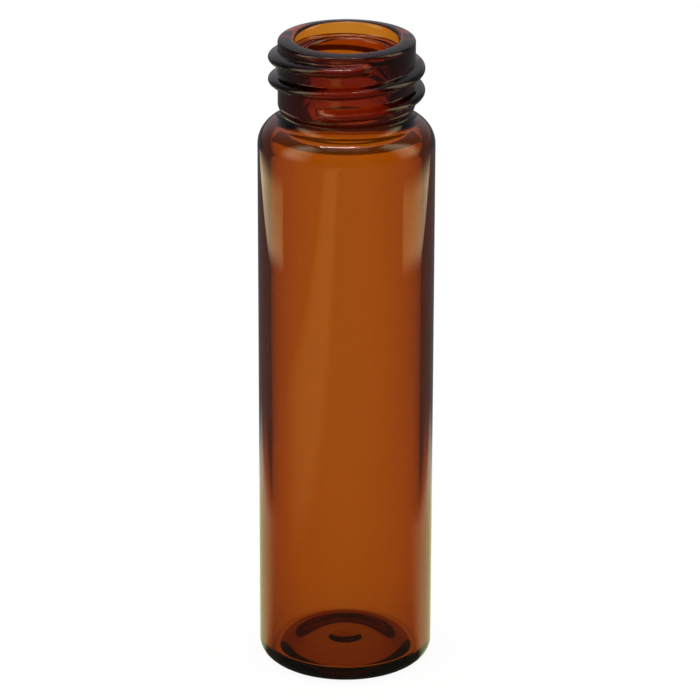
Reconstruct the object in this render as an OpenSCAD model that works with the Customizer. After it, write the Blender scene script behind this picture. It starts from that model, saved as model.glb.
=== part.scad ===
// Amber glass sample vial with a screw neck, open, with no cap.
// One piece of glass: a straight round body on a pushed-up base, a rolled shoulder, a short neck with a waist
// at its foot, and a right-hand thread of two turns. Millimetres, +Z up, origin at the centre of the foot.

/* [Body] */
// Outside diameter of the body
body_d = 16.5; // [15:0.1:24]
// Height from the foot to the rim
total_h = 61.8; // [30:0.1:120]
// Thickness of the body wall
wall = 1.2; // [0.8:0.05:1.6]
// Outside radius where the body turns in to the shoulder
shoulder_r = 2.55; // [2:0.05:3.5]
// Inside radius under the shoulder
shoulder_in_r = 1.6; // [1.2:0.05:3]

/* [Base] */
// Outside radius of the heel
heel_r = 1.4; // [0.8:0.05:2]
// Inside radius of the heel
heel_in_r = 0.4; // [0.3:0.05:1]
// Width of the flat ring that the vial stands on
foot_w = 1.05; // [0.6:0.05:2]
// Height of the hollow under the base
push_up_h = 0.7; // [0.3:0.05:1]
// Width of the slope round the hollow
push_up_w = 3.4; // [2.4:0.1:4]
// Thickness of the glass over the hollow
base_t = 1.45; // [1:0.05:2.5]
// Radius of the nib left at the middle of the hollow
nib_r = 1.6; // [1:0.05:2]
// Height of the nib
nib_h = 0.4; // [0.1:0.05:0.5]
// Width of the round by which the floor inside falls to the wall
floor_edge_w = 3.25; // [2.5:0.05:3.5]
// Radius of that round
floor_edge_r = 4.5; // [4:0.1:8]

/* [Neck] */
// Outside diameter of the neck between the turns of the thread
neck_d = 12.72; // [11:0.02:16]
// Height from the foot of the neck to the rim
neck_h = 7.8; // [6:0.05:14]
// Thickness of the neck wall between the turns of the thread
neck_wall = 2.36; // [1.8:0.02:2.6]
// Thickness of the wall round the mouth
mouth_wall = 1.56; // [1.3:0.02:1.7]
// Distance from the rim down to the top of the step inside the mouth
step_top_gap = 0.9; // [0.6:0.05:2]
// Height of that step
step_h = 0.8; // [0.8:0.05:2]
// Depth of the waist rolled in at the foot of the neck
waist_depth = 0.2; // [0.05:0.01:0.4]
// Radius of the hollow of the waist
waist_r = 0.9; // [0.4:0.05:1.2]
// Radius of the round from the waist out to the straight neck
waist_top_r = 0.9; // [0.4:0.05:1.2]
// Radius of the round where the mouth opens into the body
throat_r = 3.2; // [2:0.05:4]
// Radius of the rim's outer edge
rim_out_r = 0.33; // [0.1:0.01:0.6]
// Radius of the rim's inner edge
rim_in_r = 0.45; // [0.2:0.01:0.5]
// Radius over the top of the rim
crown_r = 3; // [2:0.1:6]

/* [Thread] */
// Height of the thread ridge above the neck
thread_h = 0.89; // [0.5:0.01:1.2]
// Rise of the thread in one turn
thread_pitch = 2.117; // [1.5:0.001:3.2]
// Number of turns, with the run-out at each end
thread_turns = 2.16; // [1:0.01:2.5]
// Width of the thread ridge at its root
thread_w = 1.2; // [0.8:0.05:2]
// Distance from the rim down to the middle of the ridge at its upper end
thread_top_gap = 1.17; // [0.9:0.01:3]
// Place of the lower end of the thread, as an angle from +X towards +Y
thread_start_a = 240; // [0:1:360]
// Angle over which the ridge sinks into the neck at each end
thread_fade_a = 29; // [10:1:60]

/* [Hidden] */
$fn = 96;
AMBER = [0.42, 0.17, 0.04, 0.8];
RIDGE_STEP_A = 6;     // turn of the helix from one section of the ridge to the next
RIDGE_FACES = 10;     // facets over the top of the ridge
ROOT_SINK = 0.3;      // depth that the ridge's root is set into the neck

body_r = body_d / 2;
body_in_r = body_r - wall;
neck_r = neck_d / 2;
bore_r = neck_r - neck_wall;
mouth_r = neck_r - mouth_wall;

// Two circles that touch, with their centres gap apart and one centre dr further out: its height above the other.
function rise(gap, dr) = sqrt(gap * gap - dr * dr);

// Centres of the arcs of the outside, from the foot up
heel_c = [body_r - heel_r, heel_r];
neck_foot_z = total_h - neck_h;
shoulder_x = body_r - shoulder_r;
shoulder_c = [shoulder_x, neck_foot_z - rise(shoulder_r, neck_r - shoulder_x)];
waist_x = neck_r - waist_depth + waist_r;
waist_c = [waist_x, shoulder_c.y + rise(shoulder_r + waist_r, waist_x - shoulder_x)];
waist_top_x = neck_r - waist_top_r;
waist_top_c = [waist_top_x, waist_c.y + rise(waist_r + waist_top_r, waist_x - waist_top_x)];
crown_c = [mouth_r + rim_in_r, total_h - crown_r];
rim_out_x = neck_r - rim_out_r;
rim_out_c = [rim_out_x, crown_c.y + rise(crown_r - rim_out_r, rim_out_x - crown_c.x)];
crown_end = crown_c + 2 * (rim_out_c - crown_c);

// Centres of the arcs of the inside, from the floor up
floor_z = push_up_h + base_t;
floor_c = [body_in_r - floor_edge_w, floor_z - floor_edge_r];
heel_in_x = body_in_r - heel_in_r;
heel_in_c = [heel_in_x, floor_c.y + rise(floor_edge_r + heel_in_r, heel_in_x - floor_c.x)];
shoulder_in_x = body_in_r - shoulder_in_r;
shoulder_in_c = [shoulder_in_x, shoulder_c.y];
throat_x = bore_r + throat_r;
throat_c = [throat_x, shoulder_in_c.y + rise(shoulder_in_r + throat_r, throat_x - shoulder_in_x)];
step_w = mouth_r - bore_r;
step_r = (step_w * step_w + step_h * step_h) / (4 * step_w);
step_top_c = [mouth_r - step_r, total_h - step_top_gap];
step_low_c = [bore_r + step_r, total_h - step_top_gap - step_h];
rim_in_c = [mouth_r + rim_in_r, total_h - rim_in_r];

// The slope round the hollow under the base is two arcs that meet halfway, and the nib is part of a ball
slope_out_x = heel_c.x - foot_w;
slope_in_x = slope_out_x - push_up_w;
slope_mid = [(slope_in_x + slope_out_x) / 2, push_up_h / 2];
slope_r = (push_up_w * push_up_w + push_up_h * push_up_h) / (4 * push_up_h);
nib_ball_r = (nib_r * nib_r + nib_h * nib_h) / (2 * nib_h);

module disc(centre, r) {
    translate(centre)
        circle(r);
}

// Half section of the outside, filled in to the axis: straight lines through the arcs' centres, then the arcs
module outside_section() {
    difference() {
        polygon([
            [0, 0], [heel_c.x, 0], heel_c, [body_r, heel_c.y],
            [body_r, shoulder_c.y], shoulder_c, waist_c, waist_top_c, [neck_r, waist_top_c.y],
            [neck_r, rim_out_c.y], rim_out_c, crown_c, [crown_c.x, total_h], [0, total_h]
        ]);
        disc(waist_c, waist_r);
    }
    intersection() {
        disc(crown_c, crown_r);
        polygon([crown_c, crown_end, [crown_c.x, crown_end.y]]);
    }
    disc(heel_c, heel_r);
    disc(shoulder_c, shoulder_r);
    disc(waist_top_c, waist_top_r);
    disc(rim_out_c, rim_out_r);
}

// Half section of the room inside, open at the rim
module inside_section() {
    difference() {
        union() {
            polygon([
                [0, floor_z], [floor_c.x, floor_z], floor_c, heel_in_c, [body_in_r, heel_in_c.y],
                [body_in_r, shoulder_in_c.y], shoulder_in_c, throat_c, [bore_r, throat_c.y],
                [bore_r, step_low_c.y], step_low_c, step_top_c, [mouth_r, step_top_c.y],
                [mouth_r, rim_in_c.y], rim_in_c, [rim_in_c.x, total_h], [0, total_h]
            ]);
            disc(heel_in_c, heel_in_r);
            disc(shoulder_in_c, shoulder_in_r);
            disc(step_top_c, step_r);
        }
        disc(floor_c, floor_edge_r);
        disc(throat_c, throat_r);
        disc(step_low_c, step_r);
        disc(rim_in_c, rim_in_r);
    }
}

// Half section of the hollow under the base
module hollow_section() {
    difference() {
        union() {
            polygon([[0, 0], [slope_out_x, 0], slope_mid, [slope_in_x, push_up_h], [0, push_up_h]]);
            intersection() {
                disc([slope_in_x, push_up_h - slope_r], slope_r);
                square([slope_mid.x, push_up_h]);
            }
        }
        disc([slope_out_x, slope_r], slope_r);
        disc([0, push_up_h - nib_h + nib_ball_r], nib_ball_r);
    }
}

module glass_wall() {
    rotate_extrude()
        difference() {
            intersection() {
                outside_section();
                square([body_r, total_h]);
            }
            inside_section();
            hollow_section();
        }
}

// The thread: a round-topped ridge swept up a helix, one ring of points for each step
thread_a = 360 * thread_turns;
thread_start_z = total_h - thread_top_gap - thread_pitch * thread_turns;
ridge_steps = round(thread_a / RIDGE_STEP_A);

function fade(a) = sin(90 * min(1, a / thread_fade_a, (thread_a - a) / thread_fade_a));

function ridge_point(a, r, z) =
    let (turn = thread_start_a + a)
    [r * cos(turn), r * sin(turn), thread_start_z + thread_pitch * a / 360 + z];

function ridge_ring(a) =
    let (crest = (thread_h + ROOT_SINK / 2) * fade(a) - ROOT_SINK / 2)
    [
        ridge_point(a, neck_r - ROOT_SINK, -thread_w / 2),
        for (j = [1 : RIDGE_FACES - 1])
            let (t = 180 * j / RIDGE_FACES)
            ridge_point(a, neck_r - ROOT_SINK + (crest + ROOT_SINK) * sin(t), -thread_w / 2 * cos(t)),
        ridge_point(a, neck_r - ROOT_SINK, thread_w / 2)
    ];

module thread() {
    ring = RIDGE_FACES + 1;
    points = [for (i = [0 : ridge_steps]) each ridge_ring(thread_a * i / ridge_steps)];
    sides = [for (i = [0 : ridge_steps - 1], j = [0 : ring - 1])
        let (here = i * ring + j, next = i * ring + (j + 1) % ring)
        each [[here, next, here + ring], [next, next + ring, here + ring]]];
    ends = [
        [for (j = [ring - 1 : -1 : 0]) j],
        [for (j = [0 : ring - 1]) ridge_steps * ring + j]
    ];
    polyhedron(points, concat(sides, ends));
}

module vial() {
    color(AMBER)
        union() {
            glass_wall();
            thread();
        }
}

vial();
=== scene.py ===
import math

import bpy
import numpy as np
from mathutils import Matrix, Vector


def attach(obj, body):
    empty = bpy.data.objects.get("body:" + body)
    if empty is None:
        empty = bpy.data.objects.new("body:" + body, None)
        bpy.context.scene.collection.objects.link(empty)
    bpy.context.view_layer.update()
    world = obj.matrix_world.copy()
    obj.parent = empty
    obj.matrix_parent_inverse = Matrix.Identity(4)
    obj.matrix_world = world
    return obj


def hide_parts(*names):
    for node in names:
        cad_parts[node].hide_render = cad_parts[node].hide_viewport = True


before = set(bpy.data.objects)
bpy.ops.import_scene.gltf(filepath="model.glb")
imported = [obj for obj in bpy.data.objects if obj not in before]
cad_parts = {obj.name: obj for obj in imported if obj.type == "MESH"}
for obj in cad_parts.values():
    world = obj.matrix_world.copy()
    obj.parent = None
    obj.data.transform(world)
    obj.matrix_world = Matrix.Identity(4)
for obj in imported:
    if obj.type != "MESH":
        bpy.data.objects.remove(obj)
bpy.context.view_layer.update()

# An open amber glass sample vial with a screw neck, on a white table. The glass is one closed shell: its
# section is spun round the axis, and the thread is then drawn out of the neck wall. Metres, +Z up, origin at
# the centre of the foot.

MM = 0.001

# ------------------------------------------------ sizes of the vial, in millimetres
BODY_R = 8.25            # outside of the body
TOTAL_H = 61.8           # foot to rim
WALL = 1.2               # body wall
SHOULDER_R = 2.55        # round where the body turns in
SHOULDER_IN_R = 1.6      # the same inside

HEEL_R = 1.4             # round from the foot to the body
HEEL_IN_R = 0.4          # the same inside
PUSH_UP_H = 0.7          # height of the hollow under the base
SLOPE_IN = 2.4           # the hollow falls to the foot between these two radii
SLOPE_OUT = 5.8
NIB_R = 1.6              # nib left at the middle of the hollow
NIB_H = 0.4
FLOOR_Z = 2.15           # floor inside
FLAT_R = 3.8             # flat middle of the floor
FLOOR_EDGE_R = 4.5       # round by which the floor falls to the heel

NECK_R = 6.36            # neck between the turns of the thread
NECK_H = 7.8             # foot of the neck to the rim
WAIST_DEPTH = 0.2        # waist rolled in at the foot of the neck
WAIST_R = 0.9
WAIST_TOP_R = 0.9        # round from the waist out to the straight neck
RIM_OUT_R = 0.33         # outer edge of the rim
RIM_IN_R = 0.45          # inner edge of the rim
CROWN_R = 3.0            # arc over the top of the rim
MOUTH_R = 4.8            # mouth
BORE_R = 4.0             # narrower bore below it
STEP_TOP = 60.9          # the mouth narrows to the bore between these two heights
STEP_LOW = 60.1
THROAT_R = 3.2           # round where the bore opens into the body

THREAD_H = 0.89          # height of the ridge above the neck
THREAD_PITCH = 2.117
THREAD_TURNS = 2.16
THREAD_W = 1.2           # width of the ridge at its root
THREAD_TOP_GAP = 1.17    # rim down to the middle of the ridge at its upper end
THREAD_START_A = 240.0   # lower end of the ridge, in degrees from +X towards +Y
THREAD_FADE_A = 29.0     # degrees over which the ridge sinks into the neck at each end
ROOT_SINK = 0.3          # depth of the ridge's root in the neck
ROOT_FILLET = 0.15       # softness of the root
ROOT_FALL = 1.5          # how fast the ridge falls away beside its root
ROOT_CUT = 0.01          # height at which the soft root ends

COLUMNS = 320            # faces round the vial
NECK_ROWS = 110          # faces up the straight neck, fine enough to hold the thread
NECK_MARGIN = 0.5        # the thread stays this far above the foot of the neck
ON_WALL = 0.02           # how near a point lies to the neck's radius to count as on its wall
SAME_POINT = 1e-6        # points of the section nearer than this are one


# ------------------------------------------------ the vial's section
def rise(gap, dr):
    """Two circles touch, their centres gap apart and one dr further out: how far it stands above the other."""
    return math.sqrt(gap * gap - dr * dr)


def centres():
    """Centres of the section's arcs, each of which touches its neighbours."""
    c = {"heel": (BODY_R - HEEL_R, HEEL_R)}
    shoulder_x = BODY_R - SHOULDER_R
    c["shoulder"] = (shoulder_x, TOTAL_H - NECK_H - rise(SHOULDER_R, NECK_R - shoulder_x))
    waist_x = NECK_R - WAIST_DEPTH + WAIST_R
    c["waist"] = (waist_x, c["shoulder"][1] + rise(SHOULDER_R + WAIST_R, waist_x - shoulder_x))
    waist_top_x = NECK_R - WAIST_TOP_R
    c["waist_top"] = (waist_top_x, c["waist"][1] + rise(WAIST_R + WAIST_TOP_R, waist_x - waist_top_x))
    c["rim_in"] = (MOUTH_R + RIM_IN_R, TOTAL_H - RIM_IN_R)
    c["crown"] = (MOUTH_R + RIM_IN_R, TOTAL_H - CROWN_R)
    rim_out_x = NECK_R - RIM_OUT_R
    c["rim_out"] = (rim_out_x, c["crown"][1] + rise(CROWN_R - RIM_OUT_R, rim_out_x - c["crown"][0]))
    shoulder_in_x = BODY_R - WALL - SHOULDER_IN_R
    c["shoulder_in"] = (shoulder_in_x, c["shoulder"][1])
    throat_x = BORE_R + THROAT_R
    c["throat"] = (throat_x, c["shoulder_in"][1] + rise(SHOULDER_IN_R + THROAT_R, throat_x - shoulder_in_x))
    c["floor"] = (FLAT_R, FLOOR_Z - FLOOR_EDGE_R)
    heel_in_x = BODY_R - WALL - HEEL_IN_R
    c["heel_in"] = (heel_in_x, c["floor"][1] + rise(FLOOR_EDGE_R + HEEL_IN_R, heel_in_x - FLAT_R))
    return c


def angle_to(c, p):
    return math.atan2(p[1] - c[1], p[0] - c[0])


def arc(c, r, a0, a1, n):
    angles = [a0 + (a1 - a0) * i / n for i in range(n + 1)]
    return [(c[0] + r * math.cos(a), c[1] + r * math.sin(a)) for a in angles]


def line(p, q, n):
    return [(p[0] + (q[0] - p[0]) * i / n, p[1] + (q[1] - p[1]) * i / n) for i in range(n + 1)]


def outside_points(c):
    """From the axis under the base, round the heel and up to the top of the rim. The last number of each arc
    and line is how many edges it is cut into."""
    up = math.pi / 2
    nib_ball_r = (NIB_R ** 2 + NIB_H ** 2) / (2 * NIB_H)
    nib_end = math.asin(NIB_R / nib_ball_r) - up
    pts = arc((0.0, PUSH_UP_H - NIB_H + nib_ball_r), nib_ball_r, -up, nib_end, 8)
    pts += line((NIB_R, PUSH_UP_H), (SLOPE_IN, PUSH_UP_H), 2)
    lean = 2 * math.atan2(PUSH_UP_H, SLOPE_OUT - SLOPE_IN)
    slope_r = PUSH_UP_H / (2 * (1 - math.cos(lean)))
    pts += arc((SLOPE_IN, PUSH_UP_H - slope_r), slope_r, up, up - lean, 12)
    pts += arc((SLOPE_OUT, slope_r), slope_r, -up - lean, -up, 12)
    pts += line((SLOPE_OUT, 0.0), (c["heel"][0], 0.0), 4)
    pts += arc(c["heel"], HEEL_R, -up, 0, 12)
    pts += line((BODY_R, c["heel"][1]), (BODY_R, c["shoulder"][1]), 4)
    to_waist = angle_to(c["shoulder"], c["waist"])
    pts += arc(c["shoulder"], SHOULDER_R, 0, to_waist, 18)
    from_waist = angle_to(c["waist_top"], c["waist"])
    pts += arc(c["waist"], WAIST_R, to_waist + math.pi, from_waist + math.pi, 10)
    pts += arc(c["waist_top"], WAIST_TOP_R, from_waist, 0, 6)
    pts += line((NECK_R, c["waist_top"][1]), (NECK_R, c["rim_out"][1]), NECK_ROWS)
    to_crown = angle_to(c["crown"], c["rim_out"])
    pts += arc(c["rim_out"], RIM_OUT_R, 0, to_crown, 8)
    pts += arc(c["crown"], CROWN_R, to_crown, up, 6)
    return pts


def inside_points(c):
    """From the top of the rim down the mouth and the wall, and over the floor to the axis."""
    up = math.pi / 2
    body_in_r = BODY_R - WALL
    pts = arc(c["rim_in"], RIM_IN_R, up, math.pi, 10)
    pts += line((MOUTH_R, c["rim_in"][1]), (MOUTH_R, STEP_TOP), 2)
    lean = 2 * math.atan2(MOUTH_R - BORE_R, STEP_TOP - STEP_LOW)
    step_r = (STEP_TOP - STEP_LOW) / (2 * math.sin(lean))
    pts += arc((MOUTH_R - step_r, STEP_TOP), step_r, 0, -lean, 10)
    pts += arc((BORE_R + step_r, STEP_LOW), step_r, math.pi - lean, math.pi, 10)
    pts += line((BORE_R, STEP_LOW), (BORE_R, c["throat"][1]), 2)
    to_shoulder = angle_to(c["throat"], c["shoulder_in"])
    pts += arc(c["throat"], THROAT_R, math.pi, to_shoulder + 2 * math.pi, 10)
    pts += arc(c["shoulder_in"], SHOULDER_IN_R, to_shoulder + math.pi, 0, 14)
    pts += line((body_in_r, c["shoulder_in"][1]), (body_in_r, c["heel_in"][1]), 4)
    to_floor = angle_to(c["heel_in"], c["floor"])
    pts += arc(c["heel_in"], HEEL_IN_R, 0, to_floor, 16)
    pts += arc(c["floor"], FLOOR_EDGE_R, to_floor + math.pi, up, 16)
    pts += line((FLAT_R, FLOOR_Z), (0.0, FLOOR_Z), 4)
    return pts


def section():
    c = centres()
    pts = outside_points(c) + inside_points(c)
    return pts[:1] + [q for p, q in zip(pts, pts[1:]) if math.dist(p, q) > SAME_POINT]


# ------------------------------------------------ the glass shell
def deselect_all():
    for ob in bpy.context.selected_objects:
        ob.select_set(False)


def spin_vial():
    """Spins the section round the axis into one closed shell."""
    pts = section()
    mesh = bpy.data.meshes.new("amber_vial")
    edges = [(i, i + 1) for i in range(len(pts) - 1)]
    mesh.from_pydata([(x * MM, 0, z * MM) for x, z in pts], edges, [])
    vial = bpy.data.objects.new("amber_vial", mesh)
    bpy.context.scene.collection.objects.link(vial)
    deselect_all()
    bpy.context.view_layer.objects.active = vial
    vial.select_set(True)
    bpy.ops.object.mode_set(mode="EDIT")
    bpy.ops.mesh.select_all(action="SELECT")
    bpy.ops.mesh.spin(steps=COLUMNS, angle=2 * math.pi, center=(0, 0, 0), axis=(0, 0, 1))
    bpy.ops.mesh.select_all(action="SELECT")
    bpy.ops.mesh.remove_doubles(threshold=1e-7)
    bpy.ops.mesh.normals_make_consistent(inside=False)
    bpy.ops.object.mode_set(mode="OBJECT")
    return vial


def raise_thread(vial):
    """Draws the neck's outer wall out along a right-hand helix, so that the ridge grows out of the glass."""
    mesh = vial.data
    co = np.zeros(len(mesh.vertices) * 3)
    mesh.vertices.foreach_get("co", co)
    co = co.reshape(-1, 3) / MM
    r = np.hypot(co[:, 0], co[:, 1])
    on_neck = (np.abs(r - NECK_R) < ON_WALL) & (co[:, 2] > TOTAL_H - NECK_H + NECK_MARGIN)
    phi = np.degrees(np.arctan2(co[:, 1], co[:, 0]))
    thread_a = 360 * THREAD_TURNS
    start_z = TOTAL_H - THREAD_TOP_GAP - THREAD_PITCH * THREAD_TURNS
    height = np.zeros(len(r))
    for turn in range(-1, 4):
        a = phi - THREAD_START_A + 360 * turn
        fade = np.sin(np.clip(np.minimum(a, thread_a - a) / THREAD_FADE_A, 0, 1) * np.pi / 2)
        middle_z = start_z + THREAD_PITCH * np.clip(a, 0, thread_a) / 360
        u = np.abs(co[:, 2] - middle_z) / (THREAD_W / 2)
        crest = (THREAD_H + ROOT_SINK) * fade - ROOT_SINK / 2 * (1 - fade)
        over = crest * np.sqrt(np.clip(1 - u ** 2, 0, 1)) - ROOT_SINK - ROOT_FALL * np.maximum(u - 1, 0)
        over = np.where((a > 0) & (a < thread_a), over, -1.0)
        height = np.maximum(height, 0.5 * (over + np.sqrt(over ** 2 + ROOT_FILLET ** 2)) - ROOT_CUT)
    grown = np.ones(len(r))
    grown[on_neck] += np.minimum(height[on_neck], THREAD_H) / r[on_neck]
    co[:, :2] *= grown[:, None]
    mesh.vertices.foreach_set("co", (co * MM).ravel())
    mesh.update()


# ------------------------------------------------ shader helpers
def value_node(nt, op, a, b=None):
    n = nt.nodes.new("ShaderNodeMath")
    n.operation = op
    for i, v in enumerate((a, b)):
        if isinstance(v, (int, float)):
            n.inputs[i].default_value = v
        elif v is not None:
            nt.links.new(v, n.inputs[i])
    return n.outputs[0]


def ramp_between(nt, v, lo, hi, out_lo, out_hi, shape="SMOOTHSTEP"):
    n = nt.nodes.new("ShaderNodeMapRange")
    n.interpolation_type = shape
    nt.links.new(v, n.inputs["Value"])
    n.inputs["From Min"].default_value = lo
    n.inputs["From Max"].default_value = hi
    n.inputs["To Min"].default_value = out_lo
    n.inputs["To Max"].default_value = out_hi
    return n.outputs[0]


def mix_node(nt, kind, factor, a, b):
    """kind is FLOAT or RGBA. Gives a where the factor is 0 and b where it is 1; either may be a constant."""
    n = nt.nodes.new("ShaderNodeMix")
    n.data_type = kind
    nt.links.new(factor, n.inputs["Factor"])
    for name, v in (("A", a), ("B", b)):
        if isinstance(v, bpy.types.NodeSocket):
            nt.links.new(v, n.inputs[name])
        else:
            n.inputs[name].default_value = v + (1,) if kind == "RGBA" else v
    return n.outputs["Result"]


def noise_node(nt, where, scale, detail):
    n = nt.nodes.new("ShaderNodeTexNoise")
    n.inputs["Scale"].default_value = scale
    n.inputs["Detail"].default_value = detail
    nt.links.new(where, n.inputs["Vector"])
    return n.outputs["Fac"]


# ------------------------------------------------ glass
GLASS_IOR = 1.5
ABSORBED = (365.0, 1000.0, 2500.0)     # red, green and blue absorbed by the amber, per metre
DENSITY = 2600.0                       # the same again: absorbed = (1 - colour) * density
CORD_STRETCH = 0.15      # how far the streaks in the glass are drawn out along the vial
CORD_SCALE = 420.0
CORD_TINT = (0.97, 0.94, 0.9)          # the darkest of them
WAVE_SCALE = 170.0       # slow waves of the drawn surface, a few millimetres wide
WAVE_DEPTH = 0.0002
WAVE_STRENGTH = 0.2
SMEAR_SCALE = 350.0      # faint smears from handling
SMEAR_FROM, SMEAR_TO = 0.35, 0.75
SMEAR_ROUGH = 0.02


def amber_glass():
    mat = bpy.data.materials.new("amber_glass")
    mat.use_nodes = True
    nt = mat.node_tree
    bsdf = nt.nodes["Principled BSDF"]
    bsdf.inputs["IOR"].default_value = GLASS_IOR
    bsdf.inputs["Transmission Weight"].default_value = 1.0
    place = nt.nodes.new("ShaderNodeTexCoord").outputs["Object"]
    stretch = nt.nodes.new("ShaderNodeMapping")
    stretch.inputs["Scale"].default_value = (1.0, 1.0, CORD_STRETCH)
    nt.links.new(place, stretch.inputs["Vector"])
    cords = noise_node(nt, stretch.outputs[0], CORD_SCALE, detail=2.0)
    nt.links.new(mix_node(nt, "RGBA", cords, (1, 1, 1), CORD_TINT), bsdf.inputs["Base Color"])
    smears = noise_node(nt, place, SMEAR_SCALE, detail=3.0)
    smears = ramp_between(nt, smears, SMEAR_FROM, SMEAR_TO, 0.0, SMEAR_ROUGH)
    nt.links.new(smears, bsdf.inputs["Roughness"])
    waves = nt.nodes.new("ShaderNodeBump")
    waves.inputs["Strength"].default_value = WAVE_STRENGTH
    waves.inputs["Distance"].default_value = WAVE_DEPTH
    nt.links.new(noise_node(nt, stretch.outputs[0], WAVE_SCALE, detail=1.0), waves.inputs["Height"])
    nt.links.new(waves.outputs["Normal"], bsdf.inputs["Normal"])
    amber = nt.nodes.new("ShaderNodeVolumeAbsorption")
    amber.inputs["Color"].default_value = tuple(1 - a / DENSITY for a in ABSORBED) + (1,)
    amber.inputs["Density"].default_value = DENSITY
    nt.links.new(amber.outputs["Volume"], nt.nodes["Material Output"].inputs["Volume"])
    return mat


vial = spin_vial()
raise_thread(vial)
bpy.ops.object.shade_smooth()
vial.data.materials.append(amber_glass())
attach(vial, "root")
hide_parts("vial")

# ------------------------------------------------ stage: levels and places, in metres
# To the camera the table and the room are white. The glass sees the same table and room at the levels below.
# A ray is "through" once it has entered the glass, and "mirrored" once any surface has reflected it.

# the room: heights and sides are parts of a direction of length 1
HAZE_LOW, HAZE_HIGH = 0.05, 0.15       # height over which the haze at the horizon turns into the sky
HAZE = (0.88, 0.88, 0.88)              # haze seen through the glass
HAZE_MIRRORED = (0.18, 0.18, 0.18)     # haze mirrored inside it
SKY_THROUGH = (0.18, 0.14, 0.12)       # sky seen through the glass
SKY_FRONT = (0.03, 0.03, 0.04)         # sky mirrored on the outside, from the front
SKY_BACK = (0.41, 0.38, 0.41)          # and from the back
SKY_FROM, SKY_TO = -0.2, 0.7           # Y over which one turns into the other
SKY_SIDE = 0.35                        # share of the mirrored sky left at the sides
SIDE_FROM, SIDE_TO = 0.35, 0.8         # X over which it falls to that

# the table as the camera sees it: its own glow, and paper that takes light and shadow
TABLE_R = 6.0
TABLE_GLOW, TABLE_PAPER = 0.93, 0.07
THROUGH_GLOW, THROUGH_PAPER = 0.49, 0.42     # the same, through the glass
MIRROR_PAPER = 0.12                          # paper mirrored inside the glass

# painted shade: through the glass the near table dims a little to both sides
FLANK = 0.8
FLANK_FROM, FLANK_TO = 0.012, 0.06     # distance from the middle over which it dims
FLANK_END = (0.09, 0.115)              # Y over which the dimming ends

# painted reflection: mirrored in the glass the table is dark but for a strip from front to back, though the
# camera sees it white
DARK = 0.055
STRIP_HALF, STRIP_EDGE = 0.038, 0.006  # half width of the strip, and its soft edge
REACH_FROM, REACH_TO = 0.035, 0.06     # Y over which the strip ends behind the vial
REACH_DARK = 0.08
SKEW = 0.08                            # turn of the line at the vial in front of which the table is dark
AHEAD_SHIFT = 0.0025                   # how far that line lies in front of the axis
AHEAD_FROM, AHEAD_TO = 0.0, 0.75       # slope over which the table beyond it brightens
FOOT_R = 0.0075                        # the foot, where all those slopes meet
LEAST_GAP = 0.0005
UNDER_IN, UNDER_OUT = 0.006, 0.0085    # painted shadow on the table right under the foot, seen only in the glass's reflections
UNDER = 0.3
NEAR = (0.66, 0.7, 0.34)               # painted yellow-green light on the table near the vial, seen only in the glass's reflections
NEAR_FROM, NEAR_TO = 0.03, 0.08
GLOW_OUT, GLOW_IN = -0.083, -0.035     # a painted warm pool of light on the table on the left, seen only in the glass's reflections, between these X
GLOW_BACK = -0.02                      # and in front of this Y
GLOW_EDGE, GLOW_BACK_EDGE = 0.01, 0.02
GLOW_LEVEL = 0.5
GLOW_TINT = (1.3, 1.0, 0.3)

# a sheet of painted shade that hangs behind the vial, tilted a little down to the back; it darkens only what is
# seen through both walls of the glass
SHEET_Z = 0.0405
SHEET_FROM, SHEET_TO = 0.033, 0.052
SHEET_EDGE = 0.002                     # soft edge of the painted shade
SHEET_MARGIN = 0.01                    # unshaded margin around it
SHEET_HALF = 0.1
SHEET_TILT = 1.5                       # degrees
SHEET_DROP = 0.75                      # share of the light that it takes
BOTH_WALLS = 2.5                       # a ray that crossed more surfaces of glass has met both walls

# soft screens on a round rail: azimuths in degrees off the far side, positive to the right
RAIL = 0.1
PANEL_LOW, PANEL_HIGH = 0.006, 0.021   # low screens at both sides
PANEL_SOFT = 0.004
PANEL_EDGE = 0.07                      # soft edge at their ends, in radians
PANEL_END = 0.4                        # level at the far end, as a share of that at the start
FADE_SHARE = 0.68                      # share of the length over which it falls to that
LEFT_START, LEFT_END, LEFT_LEAN = -26.5, -95, 2.6
LEFT_NEAR, LEFT_FAR = (2.5, 2.0, 1.35), (4.0, 3.0, 0.8)
RIGHT_START, RIGHT_END, RIGHT_LEAN = 41, 106, 1.9
RIGHT_NEAR, RIGHT_FAR = (2.3, 1.75, 1.2), (4.5, 3.4, 0.9)
WINDOW_LOW, WINDOW_HIGH = 0.04, 0.25   # tall screens above them
WINDOW_SOFT = 0.04
WINDOW = (3.9, 3.4, 2.2)
LEFT_WINDOW = (-84, -138, 0.4)         # start, end, soft edge
RIGHT_WINDOW = (72, 116, 0.3)
COLUMNS_ON_RAIL = 24

# lamps overhead: direction from the neck, then size and radiance
OVER_NECK = (0.0, 0.0, 0.055)
LAMP_DISTANCE = 0.35
BOX_AT = (0.0, -0.05, 1.0)
BOX_SIZE, BOX_RADIANCE = (0.26, 0.26), 0.5
BAR_AT = (-0.1, -0.085, 0.99)
BAR_SIZE, BAR_RADIANCE = (0.2, 0.018), 16


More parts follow.
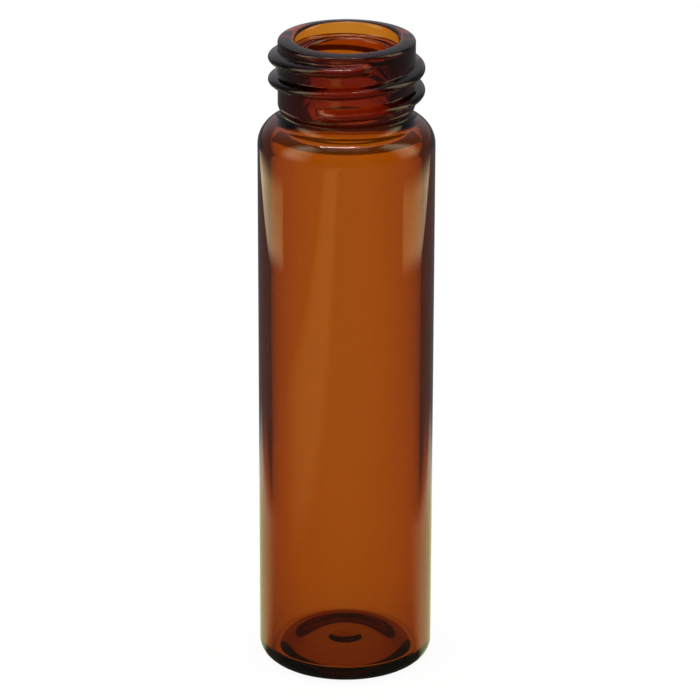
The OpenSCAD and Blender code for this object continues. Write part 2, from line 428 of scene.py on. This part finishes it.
# ------------------------------------------------ stage: making it
def stage_world():
    world = bpy.data.worlds.new("studio")
    bpy.context.scene.world = world
    world.use_nodes = True
    nt = world.node_tree
    room = nt.nodes["Background"]
    ray = nt.nodes.new("ShaderNodeLightPath").outputs
    toward = nt.nodes.new("ShaderNodeSeparateXYZ")
    nt.links.new(nt.nodes.new("ShaderNodeTexCoord").outputs["Generated"], toward.inputs[0])
    toward = toward.outputs
    mirrored = value_node(nt, "MINIMUM", ray["Glossy Depth"], 1.0)
    through = value_node(nt, "MINIMUM", ray["Transmission Depth"], 1.0)
    seen = value_node(nt, "SUBTRACT", 1.0, ray["Is Diffuse Ray"])
    seen_through = value_node(nt, "MULTIPLY", through, seen)
    seen_outside = value_node(nt, "MULTIPLY", value_node(nt, "MULTIPLY", mirrored, seen),
                              value_node(nt, "SUBTRACT", 1.0, through))
    height = ramp_between(nt, toward["Z"], HAZE_LOW, HAZE_HIGH, 0.0, 1.0)
    back = ramp_between(nt, toward["Y"], SKY_FROM, SKY_TO, 0.0, 1.0)
    haze = mix_node(nt, "RGBA", mirrored, HAZE, HAZE_MIRRORED)
    colour = mix_node(nt, "RGBA", seen_through, (1, 1, 1), haze)
    sky = mix_node(nt, "RGBA", back, SKY_FRONT, SKY_BACK)
    colour = mix_node(nt, "RGBA", seen_outside, colour, sky)
    above = value_node(nt, "MULTIPLY", seen_through, height)
    colour = mix_node(nt, "RGBA", above, colour, SKY_THROUGH)
    nt.links.new(colour, room.inputs["Color"])
    aside = value_node(nt, "ABSOLUTE", toward["X"])
    fall = ramp_between(nt, aside, SIDE_FROM, SIDE_TO, 0.0, 1.0 - SKY_SIDE)
    level = value_node(nt, "SUBTRACT", 1.0, value_node(nt, "MULTIPLY", fall, seen_outside))
    nt.links.new(level, room.inputs["Strength"])


def stage_material(name):
    """An empty node tree, with the surface to fill, the ray's facts and the place on the stage."""
    mat = bpy.data.materials.new(name)
    mat.use_nodes = True
    nt = mat.node_tree
    nt.nodes.clear()
    surface = nt.nodes.new("ShaderNodeOutputMaterial").inputs["Surface"]
    ray = nt.nodes.new("ShaderNodeLightPath").outputs
    place = nt.nodes.new("ShaderNodeSeparateXYZ")
    nt.links.new(nt.nodes.new("ShaderNodeTexCoord").outputs["Object"], place.inputs[0])
    return mat, nt, surface, ray, place.outputs


def stage_mesh(name, verts, faces, mat):
    mesh = bpy.data.meshes.new(name)
    mesh.from_pydata(verts, [], faces)
    mesh.materials.append(mat)
    ob = bpy.data.objects.new(name, mesh)
    bpy.context.scene.collection.objects.link(ob)
    ob.visible_camera = False
    return ob


def soft_band(nt, v, lo, hi, edge, level):
    """level between lo and hi, and 0 outside, over a soft edge that is centred on each."""
    return value_node(nt, "MULTIPLY", ramp_between(nt, v, lo - edge, lo + edge, 0.0, level),
                      ramp_between(nt, v, hi - edge, hi + edge, 1.0, 0.0))


def stage_floor():
    bpy.ops.mesh.primitive_circle_add(vertices=64, radius=TABLE_R, fill_type="NGON", location=(0, 0, 0))
    floor = bpy.context.active_object
    floor.name = "floor"
    mat, nt, surface, ray, at = stage_material("white_table")
    x, y = at["X"], at["Y"]
    mirrored = value_node(nt, "MINIMUM", ray["Glossy Depth"], 1.0)
    through = value_node(nt, "MINIMUM", ray["Transmission Depth"], 1.0)
    across = value_node(nt, "ABSOLUTE", x)
    away = value_node(nt, "SQRT", value_node(nt, "ADD", value_node(nt, "MULTIPLY", x, x),
                                             value_node(nt, "MULTIPLY", y, y)))

    # painted reflections: how bright the table is in the glass's reflections
    strip = ramp_between(nt, across, STRIP_HALF - STRIP_EDGE, STRIP_HALF + STRIP_EDGE, 1.0, DARK)
    skewed = value_node(nt, "ADD", y, value_node(nt, "MULTIPLY", x, SKEW))
    gap = value_node(nt, "MAXIMUM", value_node(nt, "SUBTRACT", away, FOOT_R), LEAST_GAP)
    slope = value_node(nt, "DIVIDE", value_node(nt, "ADD", skewed, AHEAD_SHIFT), gap)
    ahead = ramp_between(nt, slope, AHEAD_FROM, AHEAD_TO, DARK, 1.0)
    reach = ramp_between(nt, y, REACH_FROM, REACH_TO, 1.0, REACH_DARK)
    bright = value_node(nt, "MINIMUM", value_node(nt, "MINIMUM", strip, ahead), reach)
    # painted light: a warm pool on the table in front of the vial and to its left, seen only in the glass's
    # reflections
    to_front = ramp_between(nt, y, GLOW_BACK - GLOW_BACK_EDGE, GLOW_BACK + GLOW_BACK_EDGE, 1.0, 0.0)
    patch = value_node(nt, "MULTIPLY", soft_band(nt, x, GLOW_OUT, GLOW_IN, GLOW_EDGE, GLOW_LEVEL), to_front)
    # painted shadow: in the glass's reflections the table darkens to UNDER right under the foot
    under = ramp_between(nt, away, UNDER_IN, UNDER_OUT, UNDER, 1.0)
    mirror_level = value_node(nt, "MULTIPLY", value_node(nt, "MAXIMUM", bright, patch), under)

    # how bright it is straight on and through the glass
    # painted shade: seen through the glass the table dims to both sides of the vial
    flank = value_node(nt, "MAXIMUM", ramp_between(nt, across, FLANK_FROM, FLANK_TO, 1.0, FLANK),
                       ramp_between(nt, y, *FLANK_END, 0.0, 1.0))
    direct = mix_node(nt, "FLOAT", through, TABLE_GLOW, value_node(nt, "MULTIPLY", flank, THROUGH_GLOW))

    # painted light: near the vial the table takes the NEAR tint in the glass's reflections
    far = ramp_between(nt, away, NEAR_FROM, NEAR_TO, 0.0, 1.0)
    tint = mix_node(nt, "RGBA", mirrored, (1, 1, 1), mix_node(nt, "RGBA", far, NEAR, (1, 1, 1)))
    in_patch = value_node(nt, "MULTIPLY", value_node(nt, "GREATER_THAN", patch, DARK), mirrored)
    glow = nt.nodes.new("ShaderNodeEmission")
    nt.links.new(mix_node(nt, "RGBA", in_patch, tint, GLOW_TINT), glow.inputs["Color"])
    nt.links.new(mix_node(nt, "FLOAT", mirrored, direct, mirror_level), glow.inputs["Strength"])
    paper = nt.nodes.new("ShaderNodeBsdfDiffuse")
    paper_through = mix_node(nt, "FLOAT", mirrored, THROUGH_PAPER, MIRROR_PAPER)
    nt.links.new(mix_node(nt, "FLOAT", through, TABLE_PAPER, paper_through), paper.inputs["Color"])
    both = nt.nodes.new("ShaderNodeAddShader")
    nt.links.new(glow.outputs[0], both.inputs[0])
    nt.links.new(paper.outputs[0], both.inputs[1])
    nt.links.new(both.outputs[0], surface)
    floor.data.materials.append(mat)


def stage_sheet():
    """The sheet paints shade only on what is seen through both walls of the vial."""
    mat, nt, surface, ray, at = stage_material("shade_sheet")
    # painted shade: the band of the sheet that darkens rays through both walls
    painted_shade = value_node(nt, "MULTIPLY",
                        ramp_between(nt, at["Y"], SHEET_FROM, SHEET_FROM + SHEET_EDGE, 0.0, 1.0),
                        ramp_between(nt, at["Y"], SHEET_TO, SHEET_TO + SHEET_EDGE, 1.0, 0.0))
    deep = value_node(nt, "GREATER_THAN", ray["Transmission Depth"], BOTH_WALLS)
    both_walls = value_node(nt, "MULTIPLY", deep, ray["Is Transmission Ray"])
    drop = value_node(nt, "MULTIPLY", value_node(nt, "MULTIPLY", painted_shade, both_walls), SHEET_DROP)
    clear = nt.nodes.new("ShaderNodeBsdfTransparent")
    nt.links.new(value_node(nt, "SUBTRACT", 1.0, drop), clear.inputs["Color"])
    nt.links.new(clear.outputs[0], surface)
    x, y0, y1 = SHEET_HALF, SHEET_FROM - SHEET_MARGIN, SHEET_TO + SHEET_MARGIN
    z1 = SHEET_Z - (y1 - y0) * math.tan(math.radians(SHEET_TILT))
    corners = [(-x, y0, SHEET_Z), (x, y0, SHEET_Z), (x, y1, z1), (-x, y1, z1)]
    stage_mesh("shade_sheet", corners, [(0, 1, 2, 3)], mat).visible_shadow = False


def screen(name, start, end, low, high, lean, edge, soften, near, far):
    """A soft screen on the rail, from azimuth start to end and from height low to high. Its ends fade over edge
    in radians, its foot and head over soften in metres. Its light is near at the start and far at the end, and
    the start edge leans by lean degrees a millimetre, so that it is cut away towards the foot. Rays that have
    entered the glass pass it unseen."""
    side = 1.0 if end > start else -1.0
    verts, faces = [], []
    for i in range(COLUMNS_ON_RAIL + 1):
        a = math.radians(start + (end - start) * i / COLUMNS_ON_RAIL)
        verts += [(RAIL * math.sin(a), RAIL * math.cos(a), z) for z in (low, high)]
        if i:
            faces.append((2 * i - 2, 2 * i, 2 * i + 1, 2 * i - 1))
    mat, nt, surface, ray, at = stage_material(name)
    a0, a1 = math.radians(abs(start)), math.radians(abs(end))
    turned = value_node(nt, "ARCTAN2", value_node(nt, "MULTIPLY", at["X"], side), at["Y"])
    cut = value_node(nt, "MULTIPLY", value_node(nt, "SUBTRACT", high, at["Z"]), math.radians(lean) / MM)
    inside = value_node(nt, "SUBTRACT", turned, value_node(nt, "ADD", cut, a0))
    level = ramp_between(nt, inside, 0.0, (a1 - a0) * FADE_SHARE, 1.0, PANEL_END, "LINEAR")
    ends = value_node(nt, "MULTIPLY", ramp_between(nt, inside, 0.0, edge, 0.0, 1.0),
                      ramp_between(nt, turned, a1 - edge, a1, 1.0, 0.0))
    foot_and_head = value_node(nt, "MULTIPLY", ramp_between(nt, at["Z"], low, low + soften, 0.0, 1.0),
                               ramp_between(nt, at["Z"], high - soften, high, 1.0, 0.0))
    outside = value_node(nt, "SUBTRACT", 1.0, value_node(nt, "MINIMUM", ray["Transmission Depth"], 1.0))
    share = value_node(nt, "MULTIPLY", value_node(nt, "MULTIPLY", ends, foot_and_head), outside)
    glow = nt.nodes.new("ShaderNodeEmission")
    nt.links.new(mix_node(nt, "RGBA", level, far, near), glow.inputs["Color"])
    nt.links.new(level, glow.inputs["Strength"])
    shown = nt.nodes.new("ShaderNodeMixShader")
    nt.links.new(share, shown.inputs[0])
    nt.links.new(nt.nodes.new("ShaderNodeBsdfTransparent").outputs[0], shown.inputs[1])
    nt.links.new(glow.outputs[0], shown.inputs[2])
    nt.links.new(shown.outputs[0], surface)
    stage_mesh(name, verts, faces, mat)


def overhead(name, direction, size, radiance):
    """A rectangular lamp that faces the neck, with its long side across."""
    d = Vector(direction).normalized()
    data = bpy.data.lights.new(name, "AREA")
    data.shape = "RECTANGLE"
    data.size, data.size_y = size
    data.energy = radiance * math.pi * size[0] * size[1]
    lamp = bpy.data.objects.new(name, data)
    bpy.context.scene.collection.objects.link(lamp)
    lamp.location = Vector(OVER_NECK) + LAMP_DISTANCE * d
    across = (Vector((1, 0, 0)) - d * d.x).normalized()
    lamp.rotation_euler = Matrix((across, d.cross(across), d)).transposed().to_euler()
    lamp.visible_camera = False
    lamp.visible_transmission = False


stage_world()
stage_floor()
stage_sheet()
overhead("overhead_box", BOX_AT, BOX_SIZE, BOX_RADIANCE)
overhead("overhead_lamp", BAR_AT, BAR_SIZE, BAR_RADIANCE)
for name, start, end, lean, near, far in (
        ("left_panel", LEFT_START, LEFT_END, LEFT_LEAN, LEFT_NEAR, LEFT_FAR),
        ("right_panel", RIGHT_START, RIGHT_END, RIGHT_LEAN, RIGHT_NEAR, RIGHT_FAR)):
    screen(name, start, end, PANEL_LOW, PANEL_HIGH, lean, PANEL_EDGE, PANEL_SOFT, near, far)
for name, (start, end, edge) in (("left_window", LEFT_WINDOW), ("right_window", RIGHT_WINDOW)):
    screen(name, start, end, WINDOW_LOW, WINDOW_HIGH, 0.0, edge, WINDOW_SOFT, WINDOW, WINDOW)

# ------------------------------------------------ camera
SENSOR = 36.0            # width of the sensor and length of the lens, in millimetres
LENS = 209.931
ELEVATION = math.radians(21.27)
ROLL = math.radians(0.161)
DISTANCE = 0.38523       # from the target, in metres
TARGET = Vector((0.00038, 0, 0.03101))

cam_data = bpy.data.cameras.new("camera")
cam_data.sensor_width = SENSOR
cam_data.lens = LENS
cam = bpy.data.objects.new("camera", cam_data)
bpy.context.scene.collection.objects.link(cam)
cam.location = TARGET + DISTANCE * Vector((0, -math.cos(ELEVATION), math.sin(ELEVATION)))
turn = Matrix.Rotation(math.radians(90) - ELEVATION, 3, "X") @ Matrix.Rotation(ROLL, 3, "Z")
cam.rotation_euler = turn.to_euler()
bpy.context.scene.camera = cam
bpy.context.scene.view_settings.view_transform = "Standard"
